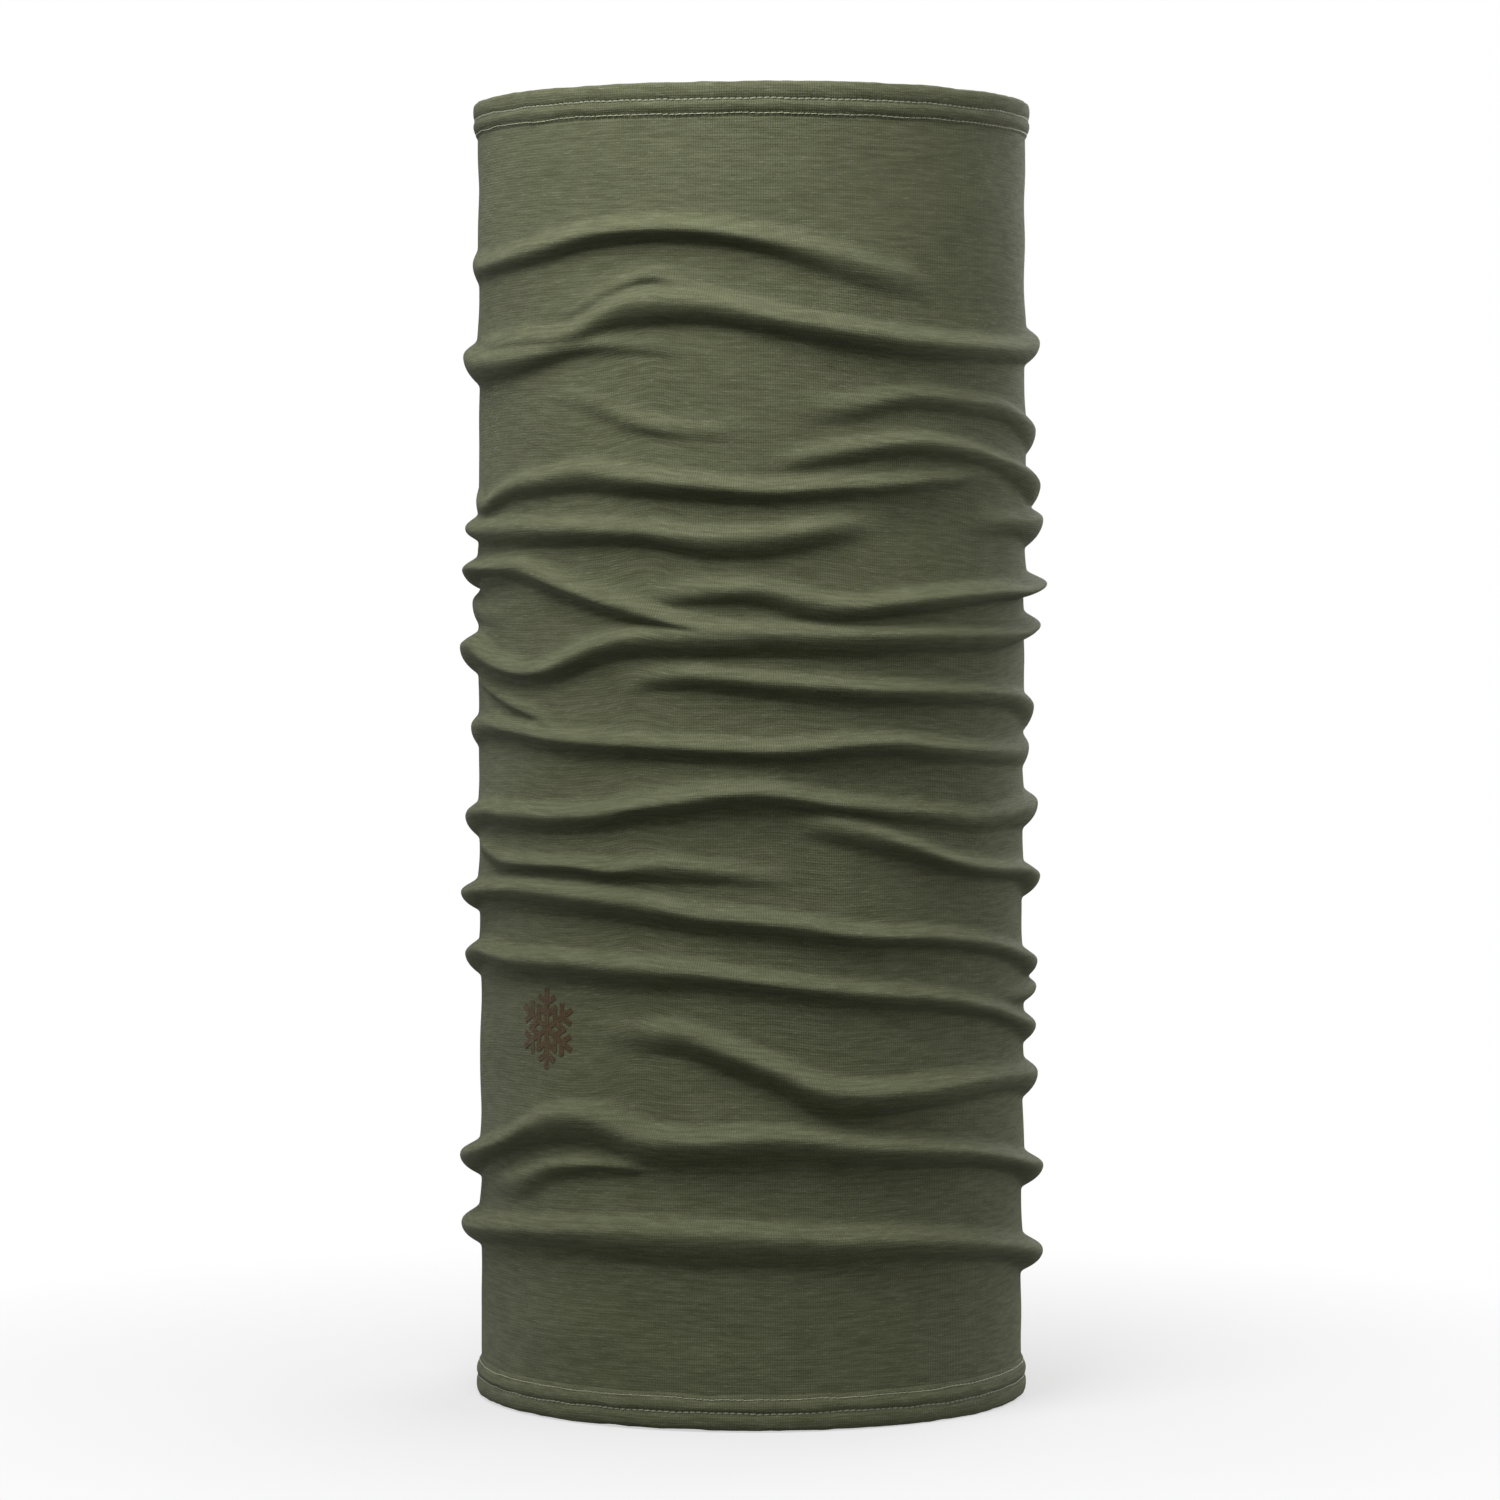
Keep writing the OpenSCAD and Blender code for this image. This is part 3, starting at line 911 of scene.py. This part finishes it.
# needle threads: one bent stitch, repeated round each row
stitch = {
    "both": {"Dip": 0.65 * mm, "Flatness": 0.6, "Slant": 0.05 * mm},
    "Edge": {"Thread": 0.33 * mm, "Length": 1.46 * mm},
    "Body": {"Thread": 0.17 * mm, "Length": 1.66 * mm},
    "seats": {"Edge": 2.1 * mm, "Body": 1.76 * mm},
    "handle": 0.8,
    "points": 6,
    "sides": 6,
    "smallest": 0.88,
    "largest": 1.08,
}


def makeStitchTree():
    sizes = ("Radius", "Height", "Length", "Thread", "Dip", "Flatness", "Slant", "Wander", "Seed")
    tree, value, out = newSewingTree("stitchRow", sizes)
    inputs = {"Vertices": value["Stitches"], "Radius": value["Radius"]}
    ring = addNode(tree, "GeometryNodeMeshCircle", inputs).outputs[0]
    place, level = placeOnRing(tree, value, value["Seed"], value["Height"])
    row = moveBy(tree, ring, joinVector(tree, 0.0, 0.0, level))
    half, rise = times(tree, value["Length"], 0.5), value["Slant"]
    back, fall, down = [times(tree, size, -1.0) for size in (half, rise, value["Dip"])]
    handle, handleBack = [times(tree, half, side * stitch["handle"]) for side in (1, -1)]
    arch = addNode(tree, "GeometryNodeCurvePrimitiveBezierSegment", {
        "Resolution": stitch["points"],
        "Start": joinVector(tree, down, back, fall),
        "Start Handle": joinVector(tree, 0.0, handleBack, fall),
        "End Handle": joinVector(tree, 0.0, handle, rise),
        "End": joinVector(tree, down, half, rise),
    })
    profile = circle(tree, stitch["sides"], value["Thread"])
    # no two stitches are quite the same size
    inputs = {2: stitch["smallest"], 3: stitch["largest"], "Seed": value["Seed"]}
    size = addNode(tree, "FunctionNodeRandomValue", inputs, data_type="FLOAT").outputs[1]
    flat = times(tree, size, value["Flatness"])
    put = addNode(tree, "GeometryNodeInstanceOnPoints", {
        "Points": row,
        "Instance": sweep(tree, arch.outputs[0], profile),
        "Rotation": joinVector(tree, 0.0, 0.0, place["Turn"]),
        "Scale": joinVector(tree, flat, size, size),
    })
    finishTree(tree, value, out, put.outputs[0])
    return tree


def makeStitchRow(end, row, depth, finish):
    edge, inwards, bore, seed = ends[end]
    return bakeTree(stitchTree, end + row + "Thread", {
        **stitch["both"],
        **stitch[row],
        "Radius": bore + stitch["seats"][row],
        "Height": edge + inwards * depth,
        "Seed": seed + hem["drift"] * depth,
        "Material": finish,
    })


stitchTree = makeStitchTree()
rows = {"Edge": (hem["edgeRow"], threadFinish), "Body": (hem["bodyRow"], brightThreadFinish)}
topEdgeThread, topBodyThread, bottomEdgeThread, bottomBodyThread = [
    makeStitchRow(end, row, *rows[row]) for end in ends for row in rows
]
print("needle threads sewn:", 4 * hem["stitches"], "stitches")

# looper threads: two strands that cross between the needle rows inside each hem
looper = {
    "thread": 0.16 * mm,
    "seat": 0.17 * mm,
    "reach": 2.15 * mm,
    "stepsPerStitch": 8,
    "sides": 5,
}


def makeLooperTree():
    sizes = ("Radius", "Height", "Reach", "Thread", "Wander", "Seed")
    tree, value, out = newSewingTree("looperThread", sizes)
    points = times(tree, value["Stitches"], looper["stepsPerStitch"])
    ring = circle(tree, points, value["Radius"])
    place, level = placeOnRing(tree, value, value["Seed"], value["Height"])
    swing = calc(tree, "SINE", times(tree, place["Turn"], value["Stitches"]))
    both = addNode(tree, "GeometryNodeJoinGeometry")
    for side in (1.0, -1.0):
        reach = times(tree, times(tree, swing, side), value["Reach"])
        strand = moveBy(tree, ring, joinVector(tree, 0.0, 0.0, calc(tree, "ADD", level, reach)))
        profile = circle(tree, looper["sides"], value["Thread"])
        feedAll(tree, both, {0: sweep(tree, strand, profile)})
    finishTree(tree, value, out, both.outputs[0])
    return tree


def makeLooper(end):
    edge, inwards, bore, seed = ends[end]
    middle = (hem["edgeRow"] + hem["bodyRow"]) / 2
    return bakeTree(looperTree, end + "LooperThread", {
        "Radius": bore + looper["seat"],
        "Height": edge + inwards * middle,
        "Reach": looper["reach"],
        "Thread": looper["thread"],
        "Seed": seed + hem["drift"] * middle,
        "Material": threadFinish,
    })


looperTree = makeLooperTree()
topLooper, bottomLooper = [makeLooper(end) for end in ends]
print("looper threads sewn")

# the print: a six-armed snowflake that lies on the knit
snowflake = {
    "span": 23 * mm,
    "line": 1.6 * mm,
    "turn": -47,
    "film": 0.14 * mm,
    "sunk": 0.05 * mm,
    "grain": 0.7 * mm,
    "grainRows": 0.87,
    "arms": 6,
    "firstArm": 30,
    "twigs": [(0.34, 0.2), (0.62, 0.17)],
    "twigTurn": 60,
}


def snowflakeBars():
    half = snowflake["span"] / 2
    width = snowflake["line"] / 2
    bars = []
    for arm in range(snowflake["arms"]):
        lean = math.radians(360 / snowflake["arms"] * arm + snowflake["firstArm"])
        bars.append(((0, 0), lean, half))
        for start, length in snowflake["twigs"]:
            root = (start * half * math.cos(lean), start * half * math.sin(lean))
            for side in (-1, 1):
                twigLean = lean + side * math.radians(snowflake["twigTurn"])
                bars.append((root, twigLean, length * snowflake["span"]))
    shapes = []
    for (x, y), lean, length in bars:
        c, s = math.cos(lean), math.sin(lean)
        shapes.append([
            (x + width * s, y - width * c),
            (x + length * c + width * s, y + length * s - width * c),
            (x + length * c - width * s, y + length * s + width * c),
            (x - width * s, y + width * c),
        ])
    return shapes


# places on the tube's outer surface, with an offset outwards
def onTube(turn, height, offset):
    spot = ((turn + 180) / turnStep) % len(turns)
    low = int(spot)
    share = spot - low
    total = 0
    for column, weight in ((low, 1 - share), ((low + 1) % len(turns), share)):
        level = np.interp(height, tubeHeight[column], levels)
        total += weight * np.interp(level, levels, tubeRadius[column])
    angle = math.radians(turn)
    total += offset
    return (total * math.sin(angle), -total * math.cos(angle), height)


def makePrint():
    shapes = snowflakeBars()
    flat = [Vector(point) for shape in shapes for point in shape]
    bars = [list(range(4 * i, 4 * i + 4)) for i in range(len(shapes))]
    step = snowflake["grain"]
    steps = int(snowflake["span"] / 2 / step)
    for i in range(-steps, steps + 1):
        for j in range(-steps, steps + 1):
            flat.append(Vector(((i + 0.5 * (j % 2)) * step, j * step * snowflake["grainRows"])))
    samePlace = 1e-7
    spots, _, triangles, _, _, barsUnder = delaunay_2d_cdt(flat, [], bars, 0, samePlace)
    triangles = [t for t, under in zip(triangles, barsUnder) if under]
    used = sorted({i for t in triangles for i in t})
    number = {old: new for new, old in enumerate(used)}
    triangles = [tuple(number[i] for i in t) for t in triangles]
    low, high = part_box("snowflake_print")
    middle = (low.z + high.z) / 2
    layers = []
    for offset in (snowflake["film"], -snowflake["sunk"]):
        for old in used:
            turn = snowflake["turn"] + math.degrees(spots[old].x / clothRadius)
            layers.append(onTube(turn, middle + spots[old].y, offset))
    count = len(used)
    faces = list(triangles)
    faces += [(c + count, b + count, a + count) for a, b, c in triangles]
    edges = {(t[i], t[(i + 1) % 3]) for t in triangles for i in range(3)}
    for a, b in edges:
        if (b, a) not in edges:
            faces.append((b, a, a + count, b + count))
    piece = meshObject("snowflakePrint", layers, faces)
    piece.data.materials.append(printInk)
    unroll(piece.data, np.array([point[2] for point in layers]))
    print("print laid on:", len(faces), "faces")
    return piece


snowflakePrint = makePrint()

# the care label: a satin tape held behind the raw edge of the top hem, at the back
label = {
    "thickness": 0.26 * mm,
    "inset": 0.16 * mm,
    "tuck": 1.9 * mm,
    "wave": 0.1 * mm,
    "waveAcross": 2.6,
    "waveDown": 5,
    "selvedge": 0.93,
    "selvedgeSwell": 0.25,
    "columns": 40,
    "rows": 44,
    "sharp": 40,
}


def makeLabel():
    low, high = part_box("care_label")
    width = high.x - low.x
    middleRadius = high.y - label["inset"]
    halfTurn = math.asin(width / 2 / middleRadius)
    top = high.z + label["tuck"]
    columns, rows, thick = label["columns"], label["rows"], label["thickness"]
    vertices = []
    for side in (0.5, -0.5):
        for i in range(columns + 1):
            across = 2 * i / columns - 1
            angle = math.pi / 2 - across * halfTurn
            swollen = 1.0 + label["selvedgeSwell"] * (abs(across) > label["selvedge"])
            for j in range(rows + 1):
                down = j / rows
                z = top - down * (top - low.z)
                phase = label["waveAcross"] * across + label["waveDown"] * down
                wave = label["wave"] * down * math.cos(phase)
                radius = middleRadius - wave + side * thick * swollen
                vertices.append((radius * math.cos(angle), radius * math.sin(angle), z))
    faces = []

    # corners are (column, row, 0 for the outside or 1 for the inside)
    def addFace(*corners):
        faces.append([(back * (columns + 1) + i) * (rows + 1) + j for i, j, back in corners])

    for i in range(columns):
        for j in range(rows):
            addFace((i, j, 0), (i, j + 1, 0), (i + 1, j + 1, 0), (i + 1, j, 0))
            addFace((i, j, 1), (i + 1, j, 1), (i + 1, j + 1, 1), (i, j + 1, 1))
        addFace((i, 0, 0), (i + 1, 0, 0), (i + 1, 0, 1), (i, 0, 1))
        addFace((i, rows, 0), (i, rows, 1), (i + 1, rows, 1), (i + 1, rows, 0))
    for j in range(rows):
        addFace((0, j, 0), (0, j, 1), (0, j + 1, 1), (0, j + 1, 0))
        addFace((columns, j, 0), (columns, j + 1, 0), (columns, j + 1, 1), (columns, j, 1))
    piece = meshObject("careLabel", vertices, faces)
    # its faces are turned outwards all together
    tidy = bmesh.new()
    tidy.from_mesh(piece.data)
    bmesh.ops.recalc_face_normals(tidy, faces=tidy.faces)
    tidy.to_mesh(piece.data)
    tidy.free()
    shadeSmooth(piece.data)
    piece.data.set_sharp_from_angle(angle=math.radians(label["sharp"]))
    piece.data.materials.append(satinTape)
    print("care label cut:", len(faces), "faces")
    return piece, top, width


careLabel, labelTop, labelWidth = makeLabel()

# a pale floor that fades out, and soft light from high on the left
studio = {
    "lights": {
        "keyLight": {"place": (-0.17, -0.37, 0.74), "size": 0.34, "power": 6.6},
        "fillLight": {"place": (0.6, -0.2, 0.55), "size": 0.5, "power": 1.5},
        "backLight": {"place": (0.35, 0.75, 0.55), "size": 0.6, "power": 7.0},
        "leftLight": {"place": (-0.7, 0.42, 0.06), "size": 0.4, "power": 1.6},
        "rightLight": {"place": (0.7, 0.42, 0.06), "size": 0.4, "power": 1.6},
    },
    "skyAbove": 0.58,
    "skyBelow": 0.15,
    "horizon": (-0.3, 0.35),
    "floorRadius": 0.34,
    "floorFadeFrom": 0.09,
    "floorShow": 0.4,
    "floorFinish": {
        "Base Color": (0.42, 0.42, 0.42, 1),
        "Roughness": 0.9,
        "Specular IOR Level": 0.0,
    },
}


def makeFloor():
    size = studio["floorRadius"]
    corners = [(-size, -size, 0), (size, -size, 0), (size, size, 0), (-size, size, 0)]
    floor = meshObject("floor", corners, [(0, 1, 2, 3)])
    material, tree, shader = newMaterial("paleFloor", (0.9, 0.9, 0.9))
    place = addNode(tree, "ShaderNodeTexCoord").outputs["Object"]
    away = vectorCalc(tree, "LENGTH", {0: place})["Value"]
    fade = remap(tree, away, studio["floorFadeFrom"], size, studio["floorShow"], 0.0)
    feedAll(tree, shader, {"Alpha": fade, **studio["floorFinish"]})
    floor.data.materials.append(material)


def addAreaLight(name, aim, settings):
    data = bpy.data.lights.new(name, "AREA")
    data.size = settings["size"]
    data.energy = settings["power"]
    light = addObject(name, data)
    light.location = settings["place"]
    away = np.array(settings["place"]) - np.array(aim)
    light.rotation_euler = (
        math.atan2(math.hypot(away[0], away[1]), away[2]),
        0,
        math.atan2(away[1], away[0]) + math.pi / 2,
    )


def lightStudio():
    world = bpy.data.worlds.new("studio")
    world.use_nodes = True
    tree = world.node_tree
    towards = addNode(tree, "ShaderNodeTexCoord").outputs["Generated"]
    split = addNode(tree, "ShaderNodeSeparateXYZ", {0: towards})
    dome = remap(tree, split.outputs[2], *studio["horizon"], studio["skyBelow"], studio["skyAbove"])
    # the backdrop itself is plain white
    seen = addNode(tree, "ShaderNodeLightPath").outputs["Is Camera Ray"]
    plain = times(tree, seen, calc(tree, "SUBTRACT", 1.0, dome))
    feedAll(tree, tree.nodes["Background"], {
        "Color": (1, 1, 1, 1),
        "Strength": calc(tree, "ADD", dome, plain),
    })
    scene.world = world
    for name, settings in studio["lights"].items():
        addAreaLight(name, (0, 0, wornHeight / 2), settings)
    scene.view_settings.view_transform = "Standard"


makeFloor()
lightStudio()

# what each piece stands for and moves with
for piece in (knitTube, snowflakePrint):
    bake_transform(piece)
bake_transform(careLabel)
skirtPieces = {
    "bottom_hem": bottomHem,
    "bottom_edge_thread": bottomEdgeThread,
    "bottom_body_thread": bottomBodyThread,
    "bottom_looper_thread": bottomLooper,
}
collarPieces = {
    "top_hem": topHem,
    "top_edge_thread": topEdgeThread,
    "top_body_thread": topBodyThread,
    "top_looper_thread": topLooper,
}
for body, pieces in (("skirt", skirtPieces), ("collar", collarPieces)):
    for node, piece in pieces.items():
        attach(piece, body)
        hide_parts(node)
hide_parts("knit_tube")
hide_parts("snowflake_print")
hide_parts("care_label")
